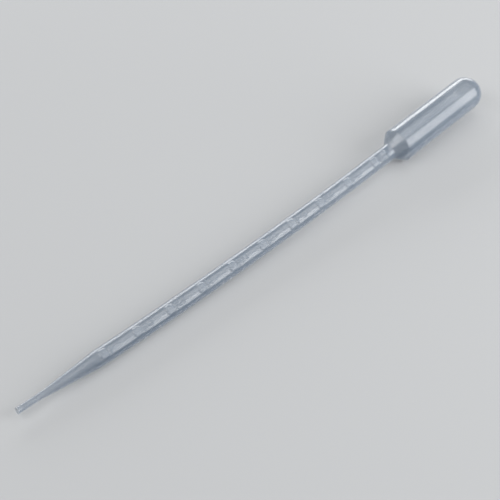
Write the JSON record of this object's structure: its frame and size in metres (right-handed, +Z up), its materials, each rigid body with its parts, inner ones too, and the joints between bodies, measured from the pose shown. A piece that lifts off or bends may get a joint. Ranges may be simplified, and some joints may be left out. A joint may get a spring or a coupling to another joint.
{
  "type": "graduated plastic dropper pipette",
  "caption": "One-piece blown plastic dropper pipette lying on its side: open tip, long taper, bowed stem with raised graduations, squeeze bulb.",
  "frame": {"origin": "middle of the bounding box, on the surface that the pipette lies on", "axes": "+X from the tip to the bulb, +Z up from the surface it lies on; the raised marks face up and towards -Y"},
  "size_m": [0.3088, 0.0196, 0.0211],
  "materials": {
    "milky_plastic": "translucent milky soft polyethylene, semi-gloss as blown"
  },
  "bodies": {
    "root": {"pipette": "milky_plastic"}
  },
  "joints": []
}
